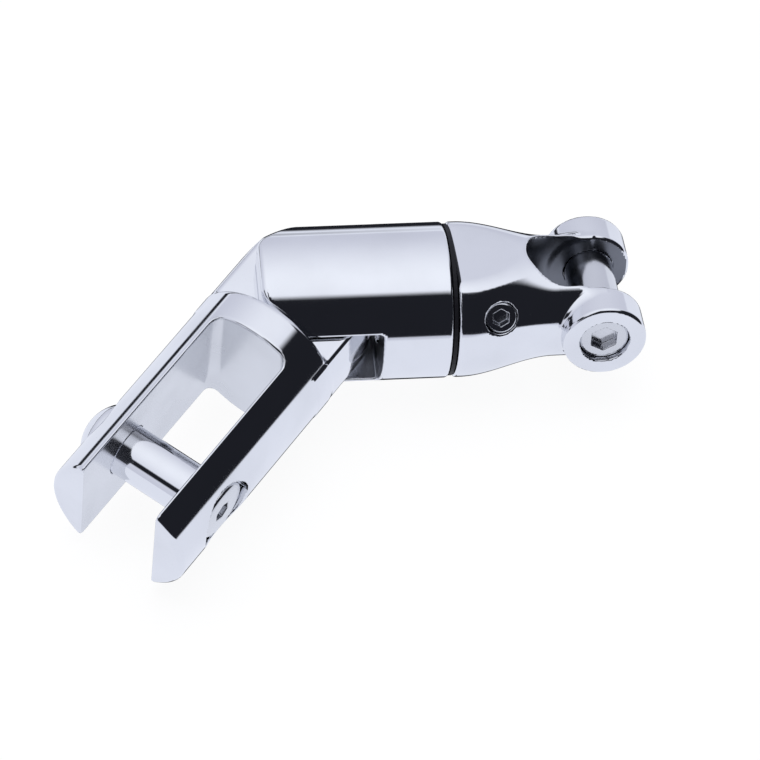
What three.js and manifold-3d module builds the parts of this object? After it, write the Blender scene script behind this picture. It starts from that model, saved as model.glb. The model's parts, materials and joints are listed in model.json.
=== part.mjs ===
// Anchor swivel: a stainless steel connector between an anchor shank and a chain.
// A forked body takes the anchor shank. Its tongue is hinged in the slotted end of a
// barrel, and a chain jaw spins on the other end of the barrel. The model lies on its
// side, bent to the end of its hinge travel.
//
// Millimetres, +Z up. Inside the assembly the hinge pivot is at (0, 0, 0), +X runs along
// the barrel towards the chain, and +Z is the knuckle pin. The whole group is then moved
// so that the origin is the centre of the bottom of its bounding box.

import * as THREE from "three";
import { mergeVertices } from "three/addons/utils/BufferGeometryUtils.js";
import Module from "manifold-3d";

const wasm = await Module();
wasm.setup();

// ---------------------------------------------------------------- driving dimensions
const bodyDiameter = 25; // fork, barrel and wide end of the jaw
const bendLimit = 50; // degrees to each side of straight
const facets = 60; // sides of the large rounds
const smallFacets = 30; // sides of pins, holes and washers
const curveSteps = 20; // segments of a plate's large arcs
const cornerSteps = 4; // segments of a slot's corners

const runningGap = 0.15; // between faces that turn on each other
const fitGap = 0.1; // radial gap of a pin or sleeve in its hole
const jointGap = 0.3; // side play and end stops of the knuckle
const beyond = 5; // how far a cutting tool runs past the metal

// knuckle
const knuckleSlotWidth = 13.2; // slot in the barrel that takes the tongue
const knuckleSlotDepth = 11.2; // pivot to the closed end of the slot
const noseReach = 8.1; // pivot to the flat end of each barrel cheek
const mitreReach = 9.6; // pivot to each mitred face of the cheeks
const knucklePinDiameter = 8;
const knuckleBushWall = 1.2;
const tongueFlatClearance = 10; // degrees the tongue's flats stay off the slot's end

// anchor fork
const forkReach = 50.9; // pivot to the ends of the arms
const anchorSlotWidth = 13.6; // takes the anchor shank
const anchorSlotFloor = 15.9; // pivot to the floor of the slot
const anchorSlotCorner = 1.8; // corner radius at the slot floor
const anchorPinReach = 38.7; // pivot to the anchor pin's axis
const anchorPinDiameter = 8.6;
const anchorPinHeadDiameter = 11;
const anchorPinDome = 1.7; // how far the domed head stands out of the arm
const anchorPinRimSink = 0.9; // rim of the dome below the outside of the arm
const anchorArmWall = 2.7; // metal between the slot and each head recess
const anchorScrewHeadDiameter = 10.2;
const anchorScrewHeadHeight = 1.8;
const anchorScrewDiameter = 5;
const anchorScrewLength = 9;
const anchorScrewKey = 3; // hex key across flats
const anchorScrewKeyDepth = 1.1;
const threadRelief = 1; // threaded hole past the end of the anchor screw

// barrel and swivel
const barrelReach = 22.2; // pivot to the barrel's end face
const headBoreDiameter = 13; // bore that takes the spindle's head
const headBoreDepth = 17; // pivot to the shoulder the thrust washer bears on
const spindleHeadDiameter = 12.4;
const spindleHeadHeight = 3.3;
const spindleDiameter = 8;
const spindleKey = 5; // hex key across flats
const spindleKeyDepth = 2;
const spindleInJaw = 9; // length of spindle screwed into the jaw
const thrustWasherThickness = 1.3;
const swivelBushWall = 0.9;
const seamWasherThickness = 0.6;
const seamWasherInset = 0.3; // below the outside of the barrel

// chain jaw
const jawTurn = 17; // degrees from level to the chain pin's axis
const jawCollar = 1.2; // full-width land next to the seam
const neckDiameter = 19.4;
const taperEnd = 16.5; // seam face of the jaw to the end of its taper
const taperShoulderReach = 6.2; // seam face to the taper's outward pull
const taperShoulderDrop = 0.5; // that pull's place below the full width
const taperHollowReach = 10; // seam face to the taper's inward pull
const taperHollowRise = 0.8; // that pull's place above the neck
const chainPinReach = 23.6; // seam face of the jaw to the chain pin's axis
const chainGapWidth = 12.2; // between the ears
const chainGapFloor = 12; // seam face of the jaw to the deepest point of the gap
const earThickness = 5.7;
const earRadius = 6.7;
const armHalfWidth = 6.4; // half width of the arms where they meet the ears
const chainPinDiameter = 8;
const chainPinSink = 0.8; // ends of the pin below the outsides of the ears
const chainPinKey = 4; // hex key across flats
const chainPinKeyDepth = 1.4;
const setScrewDiameter = 5;
const setScrewKey = 2.5;
const setScrewKeyDepth = 2;
const setScrewPlace = 6.8; // seam face of the jaw to the set screw's axis
const setScrewTurn = 24; // degrees round the jaw from the chain pin's axis
const setScrewSink = 0.5; // below the surface of the taper

// edge breaks
const edgeRound = 1;
const seamEdge = 0.5;
const pinEdge = 0.5;
const earEdge = 0.6;

// ---------------------------------------------------------------- derived sizes
const bodyRadius = bodyDiameter / 2;
const bend = THREE.MathUtils.degToRad(bendLimit);
const tongueHalf = knuckleSlotWidth / 2 - jointGap;
const tongueEndRadius = knuckleSlotDepth - jointGap;
const shoulderReach = mitreReach + jointGap;
const knuckleBushDiameter = knucklePinDiameter + 2 * (fitGap + knuckleBushWall);
const recessSeat = anchorSlotWidth / 2 + anchorArmWall;
const recessDiameter = anchorPinHeadDiameter + 4 * fitGap;
const swivelBushDiameter = spindleDiameter + 2 * (fitGap + swivelBushWall);
const thrustWasherEnd = headBoreDepth - runningGap;
const thrustWasherStart = thrustWasherEnd - thrustWasherThickness;
const spindleHeadEnd = thrustWasherStart - runningGap;
const spindleHeadStart = spindleHeadEnd - spindleHeadHeight;
const seamWasherStart = barrelReach + runningGap;
const jawFace = seamWasherStart + seamWasherThickness + runningGap;
const spindleEnd = jawFace + spindleInJaw;
const earOuter = chainGapWidth / 2 + earThickness;

// ---------------------------------------------------------------- materials
function metal(name, colour, roughness) {
  return new THREE.MeshStandardMaterial({ name, color: colour, roughness, metalness: 1 });
}
const polishedSteel = metal("polished stainless steel", 0xd6d8de, 0.08);
const turnedSteel = metal("turned stainless steel", 0xb4b6ba, 0.25);
const blackPlastic = new THREE.MeshStandardMaterial({
  name: "black acetal", color: 0x17181b, roughness: 0.45, metalness: 0,
});
const paleBearing = new THREE.MeshStandardMaterial({
  name: "white bearing plastic", color: 0xd9d6cc, roughness: 0.5, metalness: 0,
});

// ---------------------------------------------------------------- solid helpers
function solid(geometry) {
  const bare = geometry.index ? geometry.toNonIndexed() : geometry.clone();
  bare.deleteAttribute("normal");
  bare.deleteAttribute("uv");
  const merged = mergeVertices(bare, 1e-5);
  return new wasm.Manifold(new wasm.Mesh({
    numProp: 3,
    vertProperties: new Float32Array(merged.attributes.position.array),
    triVerts: new Uint32Array(merged.index.array),
  }));
}

function geometryOf(manifold) {
  const mesh = manifold.getMesh();
  const geometry = new THREE.BufferGeometry();
  geometry.setAttribute("position", new THREE.BufferAttribute(mesh.vertProperties, 3));
  geometry.setIndex(new THREE.BufferAttribute(mesh.triVerts, 1));
  return geometry;
}

// A solid of revolution about an axis. Outline points are [distance along, radius].
function turned(outline, axis, sides) {
  const points = outline.map(([along, radius]) => new THREE.Vector2(radius, along));
  const geometry = new THREE.LatheGeometry(points, sides);
  if (axis === "x") geometry.rotateZ(-Math.PI / 2);
  if (axis === "z") geometry.rotateX(Math.PI / 2);
  return solid(geometry);
}

// A cylinder between two places on an axis, with an optional bevel at each end.
function rod(from, to, diameter, axis, sides = smallFacets, bevel = 0) {
  const radius = diameter / 2;
  const outline = bevel > 0
    ? [[from, 0], [from, radius - bevel], [from + bevel, radius],
      [to - bevel, radius], [to, radius - bevel], [to, 0]]
    : [[from, 0], [from, radius], [to, radius], [to, 0]];
  return turned(outline, axis, sides);
}

function sleeve(from, to, outer, inner, axis) {
  return rod(from, to, outer, axis).subtract(rod(from - beyond, to + beyond, inner, axis));
}

function block(sizeX, sizeY, sizeZ, x, y, z) {
  return solid(new THREE.BoxGeometry(sizeX, sizeY, sizeZ).translate(x, y, z));
}

// A flat outline in X and Y with thickness in Z, centred on Z = 0.
function plate(shape, thickness, steps) {
  const options = { depth: thickness, bevelEnabled: false, curveSegments: steps };
  return solid(new THREE.ExtrudeGeometry(shape, options).translate(0, 0, -thickness / 2));
}

// A hex key recess along an axis.
function keyHole(from, to, acrossFlats, axis) {
  return rod(from, to, acrossFlats / Math.cos(Math.PI / 6), axis, 6);
}

// Quarter-round edge of a turned outline whose corner is at (along, radius). Its points
// run from the end face to the side, which lies in the given direction.
function roundedEdge(along, radius, size, direction) {
  const steps = 3;
  const points = [];
  for (let step = 0; step <= steps; step += 1) {
    const angle = (step / steps) * (Math.PI / 2);
    points.push([
      along + direction * size * (1 - Math.cos(angle)),
      radius - size * (1 - Math.sin(angle)),
    ]);
  }
  return points;
}

function named(name, manifold, material) {
  const mesh = new THREE.Mesh(geometryOf(manifold), material);
  mesh.name = name;
  return mesh;
}

// ---------------------------------------------------------------- anchor fork
// Built with the pivot at the origin and the arms along +X, then turned into place.
function tongue() {
  const tangent = THREE.MathUtils.degToRad(bendLimit + tongueFlatClearance);
  // where a flat that touches the round end runs out to the side of the body
  const flatEnd = (bodyRadius * Math.sin(tangent) - tongueEndRadius) / Math.cos(tangent);
  const outline = new THREE.Shape();
  outline.absarc(0, 0, tongueEndRadius, Math.PI - tangent, Math.PI + tangent, false);
  outline.lineTo(flatEnd, -bodyRadius);
  outline.lineTo(shoulderReach + edgeRound * 2, -bodyRadius);
  outline.lineTo(shoulderReach + edgeRound * 2, bodyRadius);
  outline.lineTo(flatEnd, bodyRadius);
  outline.closePath();
  const barrelRound = rod(-bodyRadius, anchorSlotFloor, bodyDiameter, "x", facets);
  return plate(outline, 2 * tongueHalf, curveSteps).intersect(barrelRound);
}

function anchorSlot() {
  const half = anchorSlotWidth / 2;
  const far = forkReach + beyond;
  const outline = new THREE.Shape();
  outline.moveTo(far, -half);
  outline.lineTo(far, half);
  outline.lineTo(anchorSlotFloor + anchorSlotCorner, half);
  outline.absarc(anchorSlotFloor + anchorSlotCorner, half - anchorSlotCorner,
    anchorSlotCorner, Math.PI / 2, Math.PI, false);
  outline.absarc(anchorSlotFloor + anchorSlotCorner, -half + anchorSlotCorner,
    anchorSlotCorner, Math.PI, Math.PI * 1.5, false);
  outline.closePath();
  return plate(outline, bodyDiameter + beyond, cornerSteps);
}

function anchorFork() {
  const body = turned([
    [shoulderReach, 0],
    ...roundedEdge(shoulderReach, bodyRadius, edgeRound, 1),
    ...roundedEdge(forkReach, bodyRadius, edgeRound, -1).reverse(),
    [forkReach, 0],
  ], "x", facets);
  const pinHole = rod(-bodyRadius - beyond, bodyRadius + beyond,
    anchorPinDiameter + 2 * fitGap, "y").translate([anchorPinReach, 0, 0]);
  const recesses = rod(recessSeat, bodyRadius + beyond, recessDiameter, "y")
    .add(rod(-bodyRadius - beyond, -recessSeat, recessDiameter, "y"))
    .translate([anchorPinReach, 0, 0]);
  const bushHole = rod(-bodyDiameter, bodyDiameter, knuckleBushDiameter + 2 * fitGap, "z");
  return body.add(tongue())
    .subtract(anchorSlot())
    .subtract(pinHole)
    .subtract(recesses)
    .subtract(bushHole);
}

// The head is on the -Y arm, and the screw that holds the pin is in the +Y arm.
function anchorPin() {
  const shank = anchorPinDiameter / 2;
  const head = anchorPinHeadDiameter / 2;
  const underHead = -recessSeat - fitGap;
  const rim = -bodyRadius + anchorPinRimSink;
  const outline = [[-bodyRadius - anchorPinDome, 0]];
  const steps = 5;
  for (let step = 1; step <= steps; step += 1) {
    const angle = (step / steps) * (Math.PI / 2);
    const along = rim - (bodyRadius + anchorPinDome + rim) * Math.cos(angle);
    outline.push([along, head * Math.sin(angle)]);
  }
  outline.push([underHead, head], [underHead, shank]);
  outline.push([recessSeat - runningGap - pinEdge, shank]);
  outline.push([recessSeat - runningGap, shank - pinEdge], [recessSeat - runningGap, 0]);
  const thread = rod(recessSeat - anchorScrewLength - threadRelief, recessSeat + beyond,
    anchorScrewDiameter + 2 * fitGap, "y");
  return turned(outline, "y", smallFacets).subtract(thread)
    .translate([anchorPinReach, 0, 0]);
}

function anchorPinScrew() {
  const seat = recessSeat + fitGap;
  const top = seat + anchorScrewHeadHeight;
  return rod(seat, top, anchorScrewHeadDiameter, "y", smallFacets, pinEdge)
    .add(rod(recessSeat - anchorScrewLength, seat + pinEdge, anchorScrewDiameter, "y"))
    .subtract(keyHole(top - anchorScrewKeyDepth, top + beyond, anchorScrewKey, "y"))
    .translate([anchorPinReach, 0, 0]);
}

function knuckleBush() {
  return sleeve(-tongueHalf, tongueHalf, knuckleBushDiameter,
    knucklePinDiameter + 2 * fitGap, "z");
}

// ---------------------------------------------------------------- barrel
function mitreCut(side) {
  const size = 2 * bodyDiameter;
  return block(size, size, size, mitreReach + size / 2, 0, 0)
    .rotate([0, 0, 180 + side * bendLimit]);
}

function barrel() {
  const body = turned([
    [-noseReach, 0],
    ...roundedEdge(-noseReach, bodyRadius, edgeRound, 1),
    ...roundedEdge(barrelReach, bodyRadius, seamEdge, -1).reverse(),
    [barrelReach, 0],
  ], "x", facets);
  const slotLength = noseReach + knuckleSlotDepth + beyond;
  const slot = block(slotLength, bodyDiameter + beyond, knuckleSlotWidth,
    knuckleSlotDepth - slotLength / 2, 0, 0);
  return body
    .subtract(mitreCut(1))
    .subtract(mitreCut(-1))
    .subtract(slot)
    .subtract(rod(0, headBoreDepth, headBoreDiameter, "x"))
    .subtract(rod(0, barrelReach + beyond, swivelBushDiameter + 2 * fitGap, "x"))
    .subtract(rod(-bodyDiameter, bodyDiameter, knucklePinDiameter + 2 * fitGap, "z"));
}

// Ground flush with the outside of the barrel.
function knucklePin() {
  return rod(-bodyDiameter, bodyDiameter, knucklePinDiameter, "z")
    .intersect(rod(-bodyRadius, bodyRadius, bodyDiameter, "x", facets));
}

// ---------------------------------------------------------------- swivel
function spindle() {
  return rod(spindleHeadStart, spindleHeadEnd, spindleHeadDiameter, "x", smallFacets, pinEdge)
    .add(rod(spindleHeadStart + pinEdge, spindleEnd, spindleDiameter, "x"))
    .subtract(keyHole(-beyond, spindleHeadStart + spindleKeyDepth, spindleKey, "x"));
}

function thrustWasher() {
  return sleeve(thrustWasherStart, thrustWasherEnd, spindleHeadDiameter,
    spindleDiameter + 4 * fitGap, "x");
}

function swivelBush() {
  return sleeve(headBoreDepth, barrelReach, swivelBushDiameter,
    spindleDiameter + 2 * fitGap, "x");
}

function seamWasher() {
  const outer = bodyDiameter - 2 * seamWasherInset;
  return rod(seamWasherStart, seamWasherStart + seamWasherThickness, outer, "x", facets)
    .subtract(rod(0, spindleEnd, spindleDiameter + 4 * fitGap, "x"));
}

// ---------------------------------------------------------------- chain jaw
// Built with its face at X = 0 and the chain pin along Y, then turned into place.
function jawTaper() {
  const neck = neckDiameter / 2;
  return new THREE.CubicBezierCurve(
    new THREE.Vector2(jawCollar, bodyRadius),
    new THREE.Vector2(taperShoulderReach, bodyRadius - taperShoulderDrop),
    new THREE.Vector2(taperHollowReach, neck + taperHollowRise),
    new THREE.Vector2(taperEnd, neck),
  );
}

function taperRadiusAt(along) {
  return jawTaper().getPoints(100).find((point) => point.x >= along).y;
}

function jawProfile() {
  const points = [[0, 0], ...roundedEdge(0, bodyRadius, seamEdge, 1), [jawCollar, bodyRadius]];
  for (const point of jawTaper().getPoints(8).slice(1)) points.push([point.x, point.y]);
  points.push([chainPinReach, neckDiameter / 2], [chainPinReach, 0]);
  return turned(points, "x", facets);
}

// Plan of the jaw seen along the chain pin: the arms narrow to the round ears.
function jawPlan() {
  const bendStart = chainPinReach - earRadius;
  const outline = new THREE.Shape();
  outline.moveTo(-beyond, -bodyDiameter);
  outline.lineTo(bendStart, -bodyRadius);
  outline.lineTo(bendStart, -neckDiameter / 2);
  outline.quadraticCurveTo(chainPinReach - earRadius / 2, -armHalfWidth, chainPinReach,
    -armHalfWidth);
  outline.lineTo(chainPinReach, armHalfWidth);
  outline.quadraticCurveTo(chainPinReach - earRadius / 2, armHalfWidth, bendStart,
    neckDiameter / 2);
  outline.lineTo(bendStart, bodyRadius);
  outline.lineTo(-beyond, bodyDiameter);
  outline.closePath();
  const standing = new THREE.ExtrudeGeometry(outline, {
    depth: 2 * bodyDiameter, bevelEnabled: false, curveSegments: 8,
  });
  return solid(standing.translate(0, 0, -bodyDiameter).rotateX(Math.PI / 2));
}

function chainGap() {
  const half = chainGapWidth / 2;
  const far = chainPinReach + earRadius + beyond;
  const outline = new THREE.Shape();
  outline.moveTo(far, -half);
  outline.lineTo(far, half);
  outline.absarc(chainGapFloor + half, 0, half, Math.PI / 2, Math.PI * 1.5, false);
  outline.closePath();
  return plate(outline, 2 * bodyDiameter, curveSteps);
}

// One round ear; side is 1 for the ear on +Y and -1 for the other.
function ear(side) {
  const inner = chainGapWidth / 2;
  const from = side > 0 ? inner : -earOuter;
  return rod(from, from + earThickness, 2 * earRadius, "y", facets, earEdge)
    .translate([chainPinReach, 0, 0]);
}

function chainJaw() {
  const pinHole = rod(-bodyDiameter, bodyDiameter, chainPinDiameter + 2 * fitGap, "y")
    .translate([chainPinReach, 0, 0]);
  const spindleHole = rod(-beyond, spindleInJaw + fitGap, spindleDiameter + 2 * fitGap, "x");
  return jawProfile().intersect(jawPlan())
    .subtract(chainGap())
    .add(ear(1))
    .add(ear(-1))
    .subtract(pinHole)
    .subtract(spindleHole)
    .subtract(setScrewRod(spindleDiameter / 2, bodyRadius + beyond, fitGap));
}

function chainPin() {
  const end = earOuter - chainPinSink;
  return rod(-end, end, chainPinDiameter, "y", smallFacets, pinEdge)
    .subtract(keyHole(end - chainPinKeyDepth, end + beyond, chainPinKey, "y"))
    .translate([chainPinReach, 0, 0]);
}

// A round along the set screw's radial axis, turned round the jaw from the chain pin.
function setScrewRod(from, to, extra) {
  return rod(from, to, setScrewDiameter + 2 * extra, "y")
    .rotate([-setScrewTurn, 0, 0])
    .translate([setScrewPlace, 0, 0]);
}

function jawSetScrew() {
  const outer = taperRadiusAt(setScrewPlace) - setScrewSink;
  const key = keyHole(outer - setScrewKeyDepth, outer + beyond, setScrewKey, "y")
    .rotate([-setScrewTurn, 0, 0])
    .translate([setScrewPlace, 0, 0]);
  return setScrewRod(spindleDiameter / 2 + jointGap, outer, 0).subtract(key);
}

// ---------------------------------------------------------------- assembly
const forkGroup = new THREE.Group();
forkGroup.rotation.z = Math.PI + bend;
forkGroup.add(
  named("anchor_fork", anchorFork(), polishedSteel),
  named("anchor_pin", anchorPin(), polishedSteel),
  named("anchor_pin_screw", anchorPinScrew(), turnedSteel),
  named("knuckle_bush", knuckleBush(), paleBearing),
);

// +Y of the jaw is the near ear, which holds the keyed end of the chain pin.
const jawGroup = new THREE.Group();
jawGroup.position.x = jawFace;
jawGroup.rotation.x = Math.PI - THREE.MathUtils.degToRad(jawTurn);
jawGroup.add(
  named("chain_jaw", chainJaw(), polishedSteel),
  named("chain_pin", chainPin(), turnedSteel),
  named("jaw_set_screw", jawSetScrew(), turnedSteel),
);

const assembly = new THREE.Group();
assembly.add(
  forkGroup,
  named("barrel", barrel(), polishedSteel),
  named("knuckle_pin", knucklePin(), polishedSteel),
  named("swivel_bush", swivelBush(), paleBearing),
  named("thrust_washer", thrustWasher(), paleBearing),
  named("seam_washer", seamWasher(), blackPlastic),
  named("spindle", spindle(), turnedSteel),
  jawGroup,
);

assembly.updateMatrixWorld(true);
const bounds = new THREE.Box3().setFromObject(assembly, true);
const middle = bounds.getCenter(new THREE.Vector3());
assembly.position.set(-middle.x, -middle.y, -bounds.min.z);

export default assembly;
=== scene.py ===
"""Looks of the anchor swivel: smooth skins over the CAD frame, polished steel, studio and camera.

Each visible metal piece is described by a distance field in millimetres, in the frame of
the body it belongs to. A skin of even quads is drawn over the field, pulled exactly onto
its surface, and given the field's own normals, so that reflections stay clean.
"""
import json
import math

import bpy
import numpy as np
from mathutils import Matrix, Vector


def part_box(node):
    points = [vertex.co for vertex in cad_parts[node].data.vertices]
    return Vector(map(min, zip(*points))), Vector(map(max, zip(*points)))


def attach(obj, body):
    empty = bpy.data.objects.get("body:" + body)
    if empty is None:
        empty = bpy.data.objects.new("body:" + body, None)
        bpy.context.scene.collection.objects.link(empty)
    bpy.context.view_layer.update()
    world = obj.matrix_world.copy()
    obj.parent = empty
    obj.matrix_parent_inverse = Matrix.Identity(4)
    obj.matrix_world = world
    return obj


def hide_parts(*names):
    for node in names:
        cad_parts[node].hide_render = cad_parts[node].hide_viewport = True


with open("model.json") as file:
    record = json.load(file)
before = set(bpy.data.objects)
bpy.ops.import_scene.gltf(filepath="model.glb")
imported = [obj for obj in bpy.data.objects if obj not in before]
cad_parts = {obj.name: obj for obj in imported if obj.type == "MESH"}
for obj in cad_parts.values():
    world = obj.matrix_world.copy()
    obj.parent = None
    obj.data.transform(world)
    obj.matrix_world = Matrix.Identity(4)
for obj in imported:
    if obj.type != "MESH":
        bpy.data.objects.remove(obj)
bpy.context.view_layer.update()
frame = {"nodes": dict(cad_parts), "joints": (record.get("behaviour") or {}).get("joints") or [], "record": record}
record = frame["record"]

MM = 0.001

# ------------------------------------------------------------------ places from the frame
mounts = {mount["name"]: mount for mount in record["mounts"]}
joints = {joint["name"]: joint for joint in frame["joints"]}


def axes_frame(origin, along, up):
    """A 4x4 matrix from a body's own millimetres to the row frame's metres."""
    x = Vector(along).normalized()
    z = Vector(up).normalized()
    y = z.cross(x).normalized()
    z = x.cross(y)
    matrix = Matrix.Identity(4)
    for row in range(3):
        matrix[row][0:3] = (x[row] * MM, y[row] * MM, z[row] * MM)
        matrix[row][3] = origin[row]
    return matrix


def depth_of(mount_name, origin, direction):
    """How far a mount's point lies from origin along a direction, in millimetres."""
    place = Vector(mounts[mount_name]["pos_m"])
    return (place - origin).dot(Vector(direction).normalized()) / MM


def span(node, axis):
    """Lowest and highest place of a CAD node along a row axis, in metres."""
    low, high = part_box(node)
    return low[axis], high[axis]


pivot = Vector(joints["knuckle_tilt"]["pos_m"])
UP = (0, 0, 1)
ALONG = (1, 0, 0)
fork_way = Vector(mounts["anchor_slot_floor"]["axis"])
fork_side = Vector(UP).cross(fork_way)
chain_pin_way = -Vector(mounts["chain_ear_inner"]["axis"])

body_radius = (span("barrel", 2)[1] - span("barrel", 2)[0]) / 2 / MM
bend = math.atan2(-fork_way.y, -fork_way.x)
nose_reach = (pivot.x - span("barrel", 0)[0]) / MM
barrel_reach = (span("barrel", 0)[1] - pivot.x) / MM
jaw_face = (span("chain_jaw", 0)[0] - pivot.x) / MM
chain_pin_place = (sum(span("chain_pin", 0)) / 2 - pivot.x) / MM - jaw_face
chain_pin_radius = (span("chain_pin", 0)[1] - span("chain_pin", 0)[0]) / 2 / MM
jaw_reach = (span("chain_jaw", 0)[1] - pivot.x) / MM - jaw_face
ear_radius = jaw_reach - chain_pin_place
gap_half = depth_of("chain_ear_inner", pivot, chain_pin_way)
slot_floor = depth_of("anchor_slot_floor", pivot, fork_way)
slot_half = depth_of("anchor_arm_inner", pivot, fork_side)
knuckle_pin_radius = (span("knuckle_pin", 0)[1] - span("knuckle_pin", 0)[0]) / 2 / MM
tongue_half = (span("knuckle_bush", 2)[1] - span("knuckle_bush", 2)[0]) / 2 / MM
anchor_head_radius = (span("anchor_pin", 2)[1] - span("anchor_pin", 2)[0]) / 2 / MM
anchor_screw_radius = (span("anchor_pin_screw", 2)[1] - span("anchor_pin_screw", 2)[0]) / 2 / MM

fork_frame = axes_frame(pivot, fork_way, UP)
barrel_frame = axes_frame(pivot, ALONG, UP)
jaw_origin = pivot + Vector((jaw_face * MM, 0, 0))
jaw_frame = axes_frame(jaw_origin, ALONG, Vector(ALONG).cross(chain_pin_way))

# ------------------------------------------------------------------ sizes in millimetres
clevis_half = tongue_half + 0.3
clevis_floor = 11.2
mitre_reach = 9.6
shoulder_reach = mitre_reach + 0.3
tongue_end = clevis_floor - 0.3
fork_reach = 50.9
slot_corner = 1.8
anchor_pin_place = 38.7
anchor_pin_radius = 4.3
anchor_pin_dome = 1.7
recess_seat = slot_half + 2.7
recess_radius = anchor_head_radius + 0.2
anchor_screw_top = recess_seat + 1.9
anchor_screw_key = 3.0
anchor_screw_key_depth = 1.1
head_bore_radius = 6.5
head_bore_floor = 17.0
spindle_hole_radius = 4.2
jaw_collar = 1.2
neck_radius = 9.7
taper_end = 16.5
gap_floor = 12.0
ear_outer = gap_half + 5.7
arm_half = 6.4
chain_pin_sink = 0.8
chain_key = 4.0
chain_key_depth = 1.4
set_screw_radius = 2.5
set_screw_place = 6.8
set_screw_turn = math.radians(-24)
set_screw_key = 2.5

flat_clearance = math.radians(10)
knuckle_bore_radius = 5.4
hidden_clearance = 0.9
anchor_pin_bore_radius = 2.6
anchor_pin_bore_floor = -1.0
anchor_screw_radius_inside = 2.5
head_overlap = 1.0
pin_clearance = 0.15
dome_rim_sink = 0.9
thread_depth = 9.1
taper_slope = 0.965
ear_blend = 1.2

body_edge = 1.0
seam_edge = 0.45
slot_edge = 0.45
ear_edge = 0.6
pin_edge = 0.5
crisp_edge = 0.2


# ------------------------------------------------------------------ distance fields
def radius_about(p, axis):
    """Distance of points from one of their own axes."""
    first, second = [c for c in range(3) if c != axis]
    return np.hypot(p[:, first], p[:, second])


def meet(a, b, edge=crisp_edge):
    """What lies in both shapes, with the edge between them rounded off."""
    u = np.maximum(a + edge, 0)
    v = np.maximum(b + edge, 0)
    return np.minimum(-edge, np.maximum(a, b)) + np.hypot(u, v)


def join(a, b, fillet=crisp_edge):
    """What lies in either shape, with a fillet where they meet."""
    u = np.maximum(fillet - a, 0)
    v = np.maximum(fillet - b, 0)
    return np.maximum(fillet, np.minimum(a, b)) - np.hypot(u, v)


def cut(a, b, edge=crisp_edge):
    """Shape a with shape b taken away."""
    return meet(a, -b, edge)


def hex_bar(u, v, across):
    """A hexagonal bar across two directions, with flats at both sides of u."""
    a, b = np.abs(u), np.abs(v)
    return np.maximum(a, 0.5 * a + math.sqrt(0.75) * b) - across / 2


def tongue_outline(p):
    """Plan of the tongue: a round end, two flats tangent to it, and the body's sides."""
    x, y = p[:, 0], p[:, 1]
    tangent = bend + flat_clearance
    flat = -x * math.cos(tangent) + np.abs(y) * math.sin(tangent) - tongue_end
    in_round = (x < 0) & (np.abs(y) < -x * math.tan(tangent))
    end = np.where(in_round, np.hypot(x, y) - tongue_end, flat)
    return meet(end, np.abs(y) - body_radius, 2.0)


def fork_field(p):
    x, y, z = p.T
    bar = radius_about(p, 0) - body_radius
    body = meet(meet(bar, shoulder_reach - x, body_edge), x - fork_reach, body_edge)
    tongue = meet(np.abs(z) - tongue_half, bar, 0.5)
    tongue = meet(tongue, tongue_outline(p), 0.5)
    tongue = np.maximum(tongue, x - shoulder_reach - 4)
    shape = join(body, tongue, 0.4)
    slot = meet(np.abs(y) - slot_half, slot_floor - x, slot_corner)
    shape = cut(shape, slot, slot_edge)
    about_pin = np.hypot(x - anchor_pin_place, z)
    shape = cut(shape, about_pin - anchor_pin_radius - 0.08, crisp_edge)
    recess = meet(about_pin - recess_radius, recess_seat - np.abs(y), crisp_edge)
    shape = cut(shape, recess, 0.3)
    return cut(shape, np.hypot(x, y) - knuckle_bore_radius, crisp_edge)


def barrel_field(p):
    x, y, z = p.T
    shape = meet(radius_about(p, 0) - body_radius, x - barrel_reach, seam_edge)
    ends = meet(-x - nose_reach, -x * math.cos(bend) - y * math.sin(bend) - mitre_reach, 1.5)
    ends = meet(ends, -x * math.cos(bend) + y * math.sin(bend) - mitre_reach, 1.5)
    shape = meet(shape, ends, body_edge)
    clevis = meet(np.abs(z) - clevis_half, x - clevis_floor, 0.6)
    shape = cut(shape, clevis, slot_edge)
    about_axis = radius_about(p, 0)
    shape = cut(shape, np.maximum(about_axis - head_bore_radius, x - head_bore_floor))
    return cut(shape, about_axis - spindle_hole_radius - hidden_clearance)


def taper_radius(x):
    """Radius of the jaw: full width at the seam, easing down to the neck."""
    t = np.clip((x - jaw_collar) / (taper_end - jaw_collar), 0, 1)
    return neck_radius + (body_radius - neck_radius) * (1 - t) ** 2 * (1 + 2 * t)


def jaw_field(p):
    x, y, z = p.T
    bar = (radius_about(p, 0) - taper_radius(x)) * taper_slope
    body = meet(bar, -x, seam_edge)
    narrow_from = chain_pin_place - ear_radius * ear_blend
    t = np.clip((x - narrow_from) / (ear_radius * ear_blend), 0, 1)
    half = neck_radius + (arm_half - neck_radius) * t * t * (3 - 2 * t)
    body = meet(body, np.abs(z) - half, 0.8)
    body = np.maximum(body, x - chain_pin_place)
    gap = np.hypot(np.minimum(x - gap_floor - gap_half, 0), y) - gap_half
    body = cut(body, gap, slot_edge)
    about_pin = np.hypot(x - chain_pin_place, z)
    middle = (gap_half + ear_outer) / 2
    ear = meet(about_pin - ear_radius, np.abs(np.abs(y) - middle) - (ear_outer - middle), ear_edge)
    shape = join(body, ear, 0.9)
    shape = cut(shape, about_pin - chain_pin_radius - 0.05, 0.15)
    along_screw = y * math.cos(set_screw_turn) + z * math.sin(set_screw_turn)
    across_screw = z * math.cos(set_screw_turn) - y * math.sin(set_screw_turn)
    hole = np.hypot(x - set_screw_place, across_screw) - set_screw_radius - 0.1
    shape = cut(shape, np.maximum(hole, 4 - along_screw), 0.3)
    return cut(shape, np.maximum(radius_about(p, 0) - spindle_hole_radius, x - thread_depth))


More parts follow.
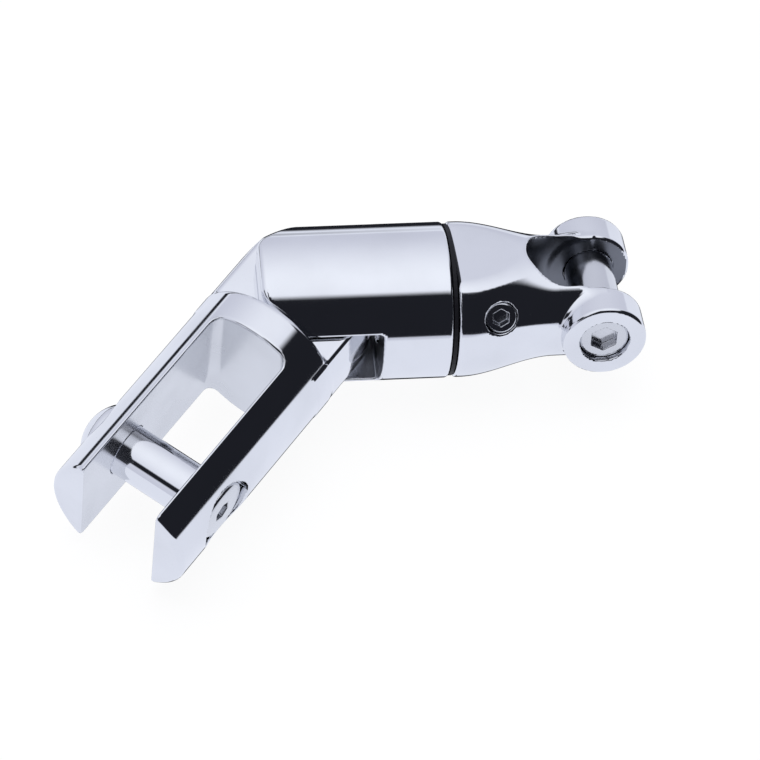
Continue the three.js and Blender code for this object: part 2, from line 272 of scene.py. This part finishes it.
def anchor_pin_field(p):
    x, y, z = p.T
    about = np.hypot(x - anchor_pin_place, z)
    length = np.maximum(y - recess_seat + pin_clearance, -y - recess_seat - head_overlap)
    shank = meet(about - anchor_pin_radius, length, pin_edge)
    reach = body_radius + anchor_pin_dome
    rise = anchor_pin_dome + dome_rim_sink
    ball = (anchor_head_radius ** 2 + rise ** 2) / (2 * rise)
    dome = np.hypot(about, y + reach - ball) - ball
    head = meet(about - anchor_head_radius, dome, 0.5)
    head = meet(head, y + recess_seat + 0.1, crisp_edge)
    shape = join(shank, head, crisp_edge)
    return cut(shape, np.maximum(about - anchor_pin_bore_radius, anchor_pin_bore_floor - y),
               crisp_edge)


def anchor_screw_field(p):
    x, y, z = p.T
    about = np.hypot(x - anchor_pin_place, z)
    head = meet(about - anchor_screw_radius, y - anchor_screw_top, 0.7)
    head = meet(head, recess_seat + 0.1 - y, 0.1)
    shank = np.maximum(about - anchor_screw_radius_inside, np.abs(y - 5) - 6)
    key = hex_bar(x - anchor_pin_place, z, anchor_screw_key)
    key = np.maximum(key, anchor_screw_top - anchor_screw_key_depth - y)
    return cut(join(head, shank), key, 0.15)


def chain_pin_field(p):
    x, y, z = p.T
    about = np.hypot(x - chain_pin_place, z)
    end = ear_outer - chain_pin_sink
    pin = meet(about - chain_pin_radius, np.abs(y) - end, pin_edge)
    key = hex_bar(x - chain_pin_place, z, chain_key)
    key = np.maximum(key, end - chain_key_depth - y)
    return cut(pin, key, 0.2)


def set_screw_field(p):
    x, y, z = p.T
    along_screw = y * math.cos(set_screw_turn) + z * math.sin(set_screw_turn)
    across_screw = z * math.cos(set_screw_turn) - y * math.sin(set_screw_turn)
    outer = float(taper_radius(np.array([set_screw_place]))[0]) - 0.5
    about = np.hypot(x - set_screw_place, across_screw)
    screw = meet(about - set_screw_radius, along_screw - outer, 0.35)
    screw = np.maximum(screw, 4.3 - along_screw)
    key = hex_bar(x - set_screw_place, across_screw, set_screw_key)
    return cut(screw, np.maximum(key, outer - 2 - along_screw), 0.12)


def knuckle_pin_field(p):
    return meet(np.hypot(p[:, 0], p[:, 1]) - knuckle_pin_radius,
                radius_about(p, 0) - body_radius + 0.05, 0.08)


# Masks for inner faces. The anchor slot and the clevis are machined faces, which are less bright than the polished
# outside; the chain gap's faces get a dark steel that is painted shade, standing for the shade between the ears.
def in_anchor_slot(p):
    return (p[:, 0] > slot_floor - 0.1) & (np.abs(p[:, 1]) < slot_half + 0.05)


def in_clevis(p):
    return (p[:, 0] < clevis_floor + 0.1) & (np.abs(p[:, 2]) < clevis_half + 0.05)


def in_chain_gap(p):
    return np.hypot(np.minimum(p[:, 0] - gap_floor - gap_half, 0), p[:, 1]) < gap_half + 0.05


# ------------------------------------------------------------------ skins
def slope_of(field, points):
    """The field's gradient at points, by central differences."""
    reach = 1e-3
    slope = np.empty_like(points)
    for axis in range(3):
        shift = np.zeros(3)
        shift[axis] = reach
        slope[:, axis] = (field(points + shift) - field(points - shift)) / (2 * reach)
    return slope


def pull_onto(field, points, rounds=4, limit=0.5):
    """Moves points along the gradient until they lie on the surface."""
    for _ in range(rounds):
        slope = slope_of(field, points)
        size = np.maximum((slope ** 2).sum(1), 1e-4)
        step = -(field(points) / size)[:, None] * slope
        length = np.linalg.norm(step, axis=1, keepdims=True)
        points = points + step * np.minimum(1, limit / np.maximum(length, 1e-9))
    return points


def net(field, low, high, step):
    """A surface net: one point in each grid cell that the surface crosses, joined by quads."""
    axes = [np.arange(low[a] - step, high[a] + 1.5 * step, step) for a in range(3)]
    grid = np.stack(np.meshgrid(*axes, indexing="ij"), -1)
    shape = grid.shape[:3]
    value = field(grid.reshape(-1, 3)).reshape(shape)
    inside = value < 0
    cells = tuple(n - 1 for n in shape)
    total = np.zeros(cells + (3,))
    count = np.zeros(cells)
    crossings = []
    for axis in range(3):
        near = [slice(None)] * 3
        far = [slice(None)] * 3
        near[axis] = slice(None, -1)
        far[axis] = slice(1, None)
        near, far = tuple(near), tuple(far)
        crossed = inside[near] != inside[far]
        share = np.where(crossed, value[near] / np.where(crossed, value[near] - value[far], 1), 0)
        point = grid[near].copy()
        point[..., axis] += share * step
        point *= crossed[..., None]
        others = [a for a in range(3) if a != axis]
        for first in (0, 1):
            for second in (0, 1):
                part = [slice(None)] * 3
                part[others[0]] = slice(first, first + cells[others[0]])
                part[others[1]] = slice(second, second + cells[others[1]])
                total += point[tuple(part)]
                count += crossed[tuple(part)]
        crossings.append((crossed, inside[near], others))
    used = count > 0
    number = np.full(cells, -1)
    number[used] = np.arange(used.sum())
    points = total[used] / count[used][:, None]
    quads = []
    for axis, (crossed, from_inside, others) in enumerate(crossings):
        place = np.argwhere(crossed)
        corners = []
        for first, second in ((-1, -1), (0, -1), (0, 0), (-1, 0)):
            cell = place.copy()
            cell[:, others[0]] += first
            cell[:, others[1]] += second
            corners.append(number[tuple(cell.T)])
        quad = np.stack(corners, 1)
        outward = from_inside[crossed]
        if axis == 1:
            outward = ~outward
        quad[~outward] = quad[~outward][:, ::-1]
        quads.append(quad)
    return points, np.concatenate(quads)


def relaxed(field, points, quads, rounds=3):
    """Evens the quads out along the surface."""
    edges = np.concatenate([quads[:, [a, (a + 1) % 4]] for a in range(4)])
    for _ in range(rounds):
        total = np.zeros_like(points)
        count = np.zeros(len(points))
        np.add.at(total, edges[:, 0], points[edges[:, 1]])
        np.add.at(count, edges[:, 0], 1)
        middle = total / np.maximum(count, 1)[:, None]
        normal = slope_of(field, points)
        normal /= np.maximum(np.linalg.norm(normal, axis=1, keepdims=True), 1e-9)
        move = middle - points
        move -= (move * normal).sum(1, keepdims=True) * normal
        points = pull_onto(field, points + 0.5 * move, rounds=2)
    return points


def skin(name, field, low, high, step, matrix, material, body, node, slot,
         inside=None, inside_material=None):
    """Makes the smooth piece that stands for a CAD node. Faces whose middle is inside get
    the second material."""
    points, quads = net(field, low, high, step)
    points = pull_onto(field, points)
    points = relaxed(field, points, quads)
    normals = slope_of(field, points)
    normals /= np.maximum(np.linalg.norm(normals, axis=1, keepdims=True), 1e-9)
    turn = np.array(matrix.to_3x3()) / MM
    placed = points @ np.array(matrix.to_3x3()).T + np.array(matrix.translation)
    mesh = bpy.data.meshes.new(name)
    mesh.from_pydata(placed.tolist(), [], quads.tolist())
    mesh.shade_smooth()
    mesh.normals_split_custom_set_from_vertices((normals @ turn.T).tolist())
    mesh.materials.append(material)
    if inside is not None:
        mesh.materials.append(inside_material)
        middles = points[quads].mean(1)
        mesh.polygons.foreach_set("material_index", inside(middles).astype(np.int32))
    piece = bpy.data.objects.new(name, mesh)
    bpy.context.scene.collection.objects.link(piece)
    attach(piece, body)
    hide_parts(node)
    return piece


# ------------------------------------------------------------------ materials
def new_material(name):
    material = bpy.data.materials.new(name)
    material.use_nodes = True
    nodes = material.node_tree.nodes
    return material, nodes, material.node_tree.links, nodes["Principled BSDF"]


def noise(nodes, links, vector, scale, detail=2.0):
    texture = nodes.new("ShaderNodeTexNoise")
    texture.inputs["Scale"].default_value = scale
    texture.inputs["Detail"].default_value = detail
    links.new(vector, texture.inputs["Vector"])
    return texture.outputs["Fac"]


def stretched(nodes, links, vector, stretch, turn=(0, 0, 0)):
    mapping = nodes.new("ShaderNodeMapping")
    mapping.inputs["Scale"].default_value = stretch
    mapping.inputs["Rotation"].default_value = turn
    links.new(vector, mapping.inputs["Vector"])
    return mapping.outputs["Vector"]


def spread(nodes, links, source, low, high, new_low, new_high):
    remap = nodes.new("ShaderNodeMapRange")
    remap.inputs["From Min"].default_value = low
    remap.inputs["From Max"].default_value = high
    remap.inputs["To Min"].default_value = new_low
    remap.inputs["To Max"].default_value = new_high
    links.new(source, remap.inputs["Value"])
    return remap.outputs["Result"]


wave_depth = 0.00001  # metres


def steel(name, colour, smooth, rough, scratch_depth):
    """Polished or turned stainless steel: faint hand-polishing waves, hairline scratches
    in several directions and patches that are a little less bright."""
    material, nodes, links, shader = new_material(name)
    place = nodes.new("ShaderNodeTexCoord").outputs["Object"]
    patches = noise(nodes, links, place, 90, 3)
    tint = nodes.new("ShaderNodeMix")
    tint.data_type = "RGBA"
    tint.inputs["A"].default_value = (*colour, 1)
    tint.inputs["B"].default_value = (*[c * 0.93 for c in colour], 1)
    links.new(spread(nodes, links, patches, 0.4, 0.75, 0, 1), tint.inputs["Factor"])
    links.new(tint.outputs["Result"], shader.inputs["Base Color"])
    links.new(spread(nodes, links, patches, 0.3, 0.75, smooth, rough), shader.inputs["Roughness"])
    shader.inputs["Metallic"].default_value = 1.0
    hairs = None
    for turn in ((0.2, 0.1, 0.3), (1.3, 0.4, 1.1), (0.7, 1.9, 2.2)):
        lines = noise(nodes, links, stretched(nodes, links, place, (1, 0.05, 1), turn), 4200, 1)
        fine = spread(nodes, links, lines, 0.66, 0.74, 0, 1)
        if hairs is None:
            hairs = fine
        else:
            both = nodes.new("ShaderNodeMath")
            both.operation = "MAXIMUM"
            links.new(hairs, both.inputs[0])
            links.new(fine, both.inputs[1])
            hairs = both.outputs["Value"]
    scratch = nodes.new("ShaderNodeBump")
    scratch.inputs["Strength"].default_value = 0.12
    scratch.inputs["Distance"].default_value = scratch_depth
    links.new(hairs, scratch.inputs["Height"])
    waves = nodes.new("ShaderNodeBump")
    waves.inputs["Strength"].default_value = 0.5
    waves.inputs["Distance"].default_value = wave_depth
    links.new(noise(nodes, links, place, 160, 1), waves.inputs["Height"])
    links.new(waves.outputs["Normal"], scratch.inputs["Normal"])
    links.new(scratch.outputs["Normal"], shader.inputs["Normal"])
    return material


def plastic(name, colour, roughness):
    """Bearing plastic with a faint moulded grain."""
    material, nodes, links, shader = new_material(name)
    shader.inputs["Specular IOR Level"].default_value = 0.2
    place = nodes.new("ShaderNodeTexCoord").outputs["Object"]
    grain = noise(nodes, links, place, 2500, 2)
    tint = nodes.new("ShaderNodeMix")
    tint.data_type = "RGBA"
    tint.inputs["A"].default_value = (*colour, 1)
    tint.inputs["B"].default_value = (*[c * 0.85 for c in colour], 1)
    links.new(grain, tint.inputs["Factor"])
    links.new(tint.outputs["Result"], shader.inputs["Base Color"])
    links.new(spread(nodes, links, grain, 0.3, 0.7, roughness, roughness + 0.12),
              shader.inputs["Roughness"])
    bump = nodes.new("ShaderNodeBump")
    bump.inputs["Strength"].default_value = 0.2
    bump.inputs["Distance"].default_value = 0.00002
    links.new(grain, bump.inputs["Height"])
    links.new(bump.outputs["Normal"], shader.inputs["Normal"])
    return material


polished = steel("polished_steel", (0.83, 0.84, 0.875), 0.035, 0.09, 0.000004)
turned = steel("turned_steel", (0.72, 0.73, 0.76), 0.10, 0.22, 0.000008)
machined = steel("machined_steel", (0.74, 0.75, 0.78), 0.2, 0.3, 0.000006)
# painted shade: a dark, dull steel for the inside of the chain gap, which looks dark there only because it lies in
# shade
painted_gap_shade = steel("painted_gap_shade_steel", (0.20, 0.21, 0.24), 0.25, 0.35, 0.000006)
black_plastic = plastic("black_acetal", (0.012, 0.012, 0.016), 0.42)
pale_plastic = plastic("bearing_plastic", (0.74, 0.72, 0.66), 0.45)


# ------------------------------------------------------------------ the pieces
def make_pieces():
    r = body_radius
    side = (r + anchor_pin_dome, r)
    pin_low = anchor_pin_place - anchor_head_radius
    pin_high = anchor_pin_place + anchor_head_radius
    chain_low = chain_pin_place - chain_pin_radius
    chain_high = chain_pin_place + chain_pin_radius
    ear_reach = max(r, ear_outer)
    rows = (
        ("fork_body", fork_field, (-tongue_end - 1, -r, -r), (fork_reach, r, r), 0.35,
         fork_frame, polished, "fork", "anchor_fork", "polished_steel", in_anchor_slot, machined),
        ("barrel_body", barrel_field, (-nose_reach, -r, -r), (barrel_reach, r, r), 0.35,
         barrel_frame, polished, "barrel", "barrel", "polished_steel", in_clevis, machined),
        # the chain gap's inner faces take the dark steel that is painted shade
        ("jaw_body", jaw_field, (0, -ear_reach, -r), (jaw_reach, ear_reach, r), 0.35,
         jaw_frame, polished, "jaw", "chain_jaw", "polished_steel", in_chain_gap, painted_gap_shade),
        ("anchor_cross_pin", anchor_pin_field, (pin_low, -side[0], -anchor_head_radius),
         (pin_high, recess_seat, anchor_head_radius), 0.3,
         fork_frame, polished, "anchor_pin", "anchor_pin", "polished_steel"),
        ("anchor_pin_screw_body", anchor_screw_field, (pin_low, -1.5, -anchor_screw_radius),
         (pin_high, anchor_screw_top, anchor_screw_radius), 0.2,
         fork_frame, turned, "anchor_screw", "anchor_pin_screw", "turned_steel"),
        ("chain_cross_pin", chain_pin_field, (chain_low, -ear_outer, -chain_pin_radius),
         (chain_high, ear_outer, chain_pin_radius), 0.25,
         jaw_frame, turned, "chain_pin", "chain_pin", "turned_steel"),
        ("set_screw_body", set_screw_field, (set_screw_place - 2.6, 1, -9),
         (set_screw_place + 2.6, body_radius, 3), 0.15,
         jaw_frame, turned, "jaw", "jaw_set_screw", "turned_steel"),
        ("knuckle_pin_body", knuckle_pin_field, (-knuckle_pin_radius, -knuckle_pin_radius, -r),
         (knuckle_pin_radius, knuckle_pin_radius, r), 0.3,
         barrel_frame, polished, "barrel", "knuckle_pin", "polished_steel"),
    )
    for row in rows:
        skin(*row)


def dress_cad_nodes():
    finishes = {
        "seam_washer": black_plastic,
        "knuckle_bush": pale_plastic,
        "swivel_bush": pale_plastic,
        "thrust_washer": pale_plastic,
        "spindle": turned,
    }
    for node, material in finishes.items():
        mesh = frame["nodes"][node].data
        mesh.materials.clear()
        mesh.materials.append(material)


# ------------------------------------------------------------------ studio
def node_math(nodes, links, operation, first, second=None):
    node = nodes.new("ShaderNodeMath")
    node.operation = operation
    for index, value in enumerate((first, second)):
        if value is None:
            continue
        if isinstance(value, (int, float)):
            node.inputs[index].default_value = value
        else:
            links.new(value, node.inputs[index])
    return node.outputs["Value"]


def rise(nodes, links, value, start, end):
    """0 below start, 1 above end, smooth between."""
    remap = nodes.new("ShaderNodeMapRange")
    remap.interpolation_type = "SMOOTHSTEP"
    for name, limit in (("From Min", start), ("From Max", end)):
        if isinstance(limit, (int, float)):
            remap.inputs[name].default_value = limit
        else:
            links.new(limit, remap.inputs[name])
    links.new(value, remap.inputs["Value"])
    return remap.outputs["Result"]


def make_world():
    """A white studio that is dark where the photographer stands, at the front right, and
    has a dark edge low down behind the object."""
    world = bpy.data.worlds.new("studio")
    world.use_nodes = True
    bpy.context.scene.world = world
    nodes, links = world.node_tree.nodes, world.node_tree.links
    nodes.clear()

    def calc(operation, first, second=None):
        return node_math(nodes, links, operation, first, second)

    def smooth(value, start, end):
        return rise(nodes, links, value, start, end)

    direction = nodes.new("ShaderNodeSeparateXYZ")
    links.new(nodes.new("ShaderNodeTexCoord").outputs["Generated"], direction.inputs["Vector"])
    x, y, z = (direction.outputs[name] for name in "XYZ")
    height = calc("MULTIPLY", calc("ARCSINE", z), 180 / math.pi)
    from_front = calc("MULTIPLY", calc("ARCTAN2", x, calc("MULTIPLY", y, -1)), 180 / math.pi)
    from_back = calc("MULTIPLY", calc("ARCTAN2", x, y), 180 / math.pi)

    # dark front: its lower edge falls and its upper edge comes down towards the right
    lower = calc("ADD", calc("MULTIPLY", from_front, -0.16), 4.5)
    upper = calc("ADD", calc("MULTIPLY", from_front, -0.22), 72)
    tall = calc("MULTIPLY", smooth(height, calc("SUBTRACT", lower, 1.5), calc("ADD", lower, 1.5)),
                calc("SUBTRACT", 1,
                     smooth(height, calc("SUBTRACT", upper, 5), calc("ADD", upper, 5))))
    wide = calc("MULTIPLY", smooth(from_front, -45, -25),
                calc("SUBTRACT", 1, smooth(from_front, 112, 128)))
    front = calc("MULTIPLY", tall, wide)

    # dark edge behind
    tall = calc("SUBTRACT", 1, smooth(height, -25, -15))
    wide = calc("MULTIPLY", smooth(from_back, -10, 0),
                calc("SUBTRACT", 1, smooth(from_back, 30, 42)))
    behind = calc("MULTIPLY", tall, wide)
    tall = calc("MULTIPLY", smooth(height, -13, -10),
                calc("SUBTRACT", 1, smooth(height, -6, -3)))
    wide = calc("MULTIPLY", smooth(from_back, -70, -60),
                calc("SUBTRACT", 1, smooth(from_back, 0, 10)))
    edge = calc("MULTIPLY", tall, wide)
    dark = calc("MAXIMUM", calc("MAXIMUM", front, behind), edge)

    # narrow dark card at the left, which draws the line along the anchor pin
    tall = calc("MULTIPLY", smooth(height, 20, 26),
                calc("SUBTRACT", 1, smooth(height, 38, 44)))
    wide = calc("MULTIPLY", smooth(from_front, -95, -85),
                calc("SUBTRACT", 1, smooth(from_front, -40, -30)))
    dark = calc("MAXIMUM", dark, calc("MULTIPLY", tall, wide))

    sky = nodes.new("ShaderNodeMix")
    sky.data_type = "RGBA"
    sky.inputs["A"].default_value = (0.66, 0.68, 0.78, 1)
    sky.inputs["B"].default_value = (1.00, 1.03, 1.10, 1)
    links.new(smooth(height, 0, 90), sky.inputs["Factor"])
    ground = nodes.new("ShaderNodeMix")
    ground.data_type = "RGBA"
    ground.inputs["A"].default_value = (0.84, 0.87, 0.96, 1)
    links.new(sky.outputs["Result"], ground.inputs["B"])
    links.new(smooth(height, -3, 1), ground.inputs["Factor"])
    shade = nodes.new("ShaderNodeMix")
    shade.data_type = "RGBA"
    links.new(ground.outputs["Result"], shade.inputs["A"])
    shade.inputs["B"].default_value = (0.014, 0.015, 0.020, 1)
    links.new(dark, shade.inputs["Factor"])

    # the backdrop itself is plain
    plain = nodes.new("ShaderNodeMix")
    plain.data_type = "RGBA"
    links.new(shade.outputs["Result"], plain.inputs["A"])
    plain.inputs["B"].default_value = (1, 1, 1, 1)
    links.new(nodes.new("ShaderNodeLightPath").outputs["Is Camera Ray"], plain.inputs["Factor"])
    background = nodes.new("ShaderNodeBackground")
    links.new(plain.outputs["Result"], background.inputs["Color"])
    output = nodes.new("ShaderNodeOutputWorld")
    links.new(background.outputs["Background"], output.inputs["Surface"])


def make_floor():
    mesh = bpy.data.meshes.new("floor")
    size = 3.0
    corners = [(-size, -size, 0), (size, -size, 0), (size, size, 0), (-size, size, 0)]
    mesh.from_pydata(corners, [], [(0, 1, 2, 3)])
    floor = bpy.data.objects.new("floor", mesh)
    bpy.context.scene.collection.objects.link(floor)
    floor.location.z = -0.0002
    floor.visible_glossy = False
    material, nodes, links, shader = new_material("floor")
    shader.inputs["Base Color"].default_value = (0.12, 0.12, 0.12, 1)
    shader.inputs["Roughness"].default_value = 1.0
    shader.inputs["Specular IOR Level"].default_value = 0.0
    shader.inputs["Emission Color"].default_value = (1, 1, 1, 1)
    shader.inputs["Emission Strength"].default_value = 0.92
    mesh.materials.append(material)


def make_gap_card():
    """A dark card on the floor under the jaw, seen only in reflections: it stands for the
    shade there, which darkens the inside of the chain gap."""
    mesh = bpy.data.meshes.new("gap_card")
    low = pivot + Vector((36, -6, -12)) * MM
    high = pivot + Vector((58, 16, -12)) * MM
    corners = [(low.x, low.y, low.z), (high.x, low.y, low.z), (high.x, high.y, low.z),
               (low.x, high.y, low.z)]
    mesh.from_pydata(corners, [], [(0, 1, 2, 3)])
    card = bpy.data.objects.new("gap_card", mesh)
    bpy.context.scene.collection.objects.link(card)
    card.visible_camera = False
    card.visible_diffuse = False
    card.visible_shadow = False
    material, nodes, links, shader = new_material("black_card")
    shader.inputs["Base Color"].default_value = (0.012, 0.012, 0.016, 1)
    shader.inputs["Roughness"].default_value = 1.0
    mesh.materials.append(material)


def make_lights():
    light = bpy.data.lights.new("overhead", "AREA")
    light.shape = "DISK"
    light.size = 1.2
    light.energy = 6
    lamp = bpy.data.objects.new("overhead", light)
    lamp.location = (-0.1, 0.35, 1.3)
    lamp.rotation_euler = (Vector((0, 0, 0)) - lamp.location).to_track_quat("-Z", "Y").to_euler()
    lamp.visible_glossy = False
    bpy.context.scene.collection.objects.link(lamp)


def make_camera():
    azimuth, elevation, roll = (math.radians(a) for a in (-13.21, 58.70, 8.97))
    distance = 0.6691
    aim = pivot + Vector((11.32, -11.43, -5.19)) * MM
    back = Vector((math.sin(azimuth) * math.cos(elevation),
                   -math.cos(azimuth) * math.cos(elevation), math.sin(elevation)))
    level = Vector(UP).cross(back).normalized()
    upright = back.cross(level)
    right = level * math.cos(roll) + upright * math.sin(roll)
    up = upright * math.cos(roll) - level * math.sin(roll)
    data = bpy.data.cameras.new("camera")
    data.lens = 198.4
    data.sensor_width = 36
    data.clip_start = 0.01
    camera = bpy.data.objects.new("camera", data)
    matrix = Matrix.Identity(4)
    for row in range(3):
        matrix[row][0:3] = (right[row], up[row], back[row])
        matrix[row][3] = aim[row] + back[row] * distance
    camera.matrix_world = matrix
    bpy.context.scene.collection.objects.link(camera)
    bpy.context.scene.camera = camera


make_camera()
make_world()
make_floor()
make_gap_card()
make_lights()
make_pieces()
dress_cad_nodes()
bpy.context.scene.view_settings.view_transform = "Standard"
